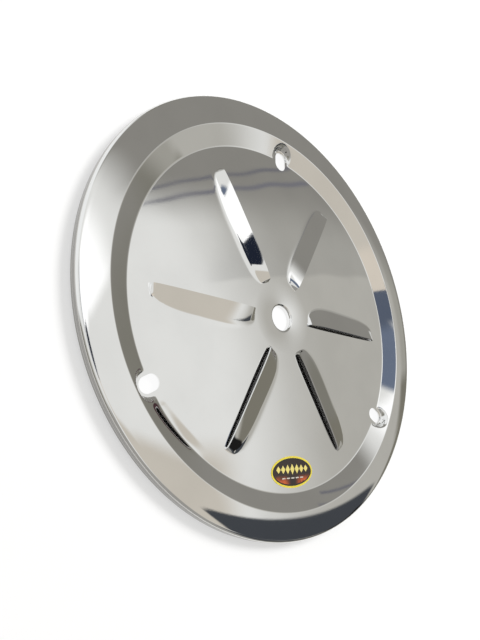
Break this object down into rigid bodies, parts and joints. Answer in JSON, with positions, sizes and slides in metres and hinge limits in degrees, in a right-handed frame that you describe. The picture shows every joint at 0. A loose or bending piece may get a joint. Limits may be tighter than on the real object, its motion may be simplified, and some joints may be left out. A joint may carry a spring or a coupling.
{
  "type": "wheel mud cover",
  "caption": "Round dished sheet cover for a racing wheel, with radial louvers, a rolled centre hole and pocketed fastener slots.",
  "frame": {"origin": "on the axis of the centre hole, at the rear edge of its collar, the lowest point as the cover lies on its back", "axes": "+Z along the axis, out of the front face; +X along one louver slit"},
  "size_m": [0.3939, 0.394, 0.0141],
  "materials": {
    "polished_sheet": "mirror polished",
    "label_print": "gloss print"
  },
  "bodies": {
    "root": {"mud_cover": "polished_sheet", "label": "label_print"}
  },
  "joints": []
}
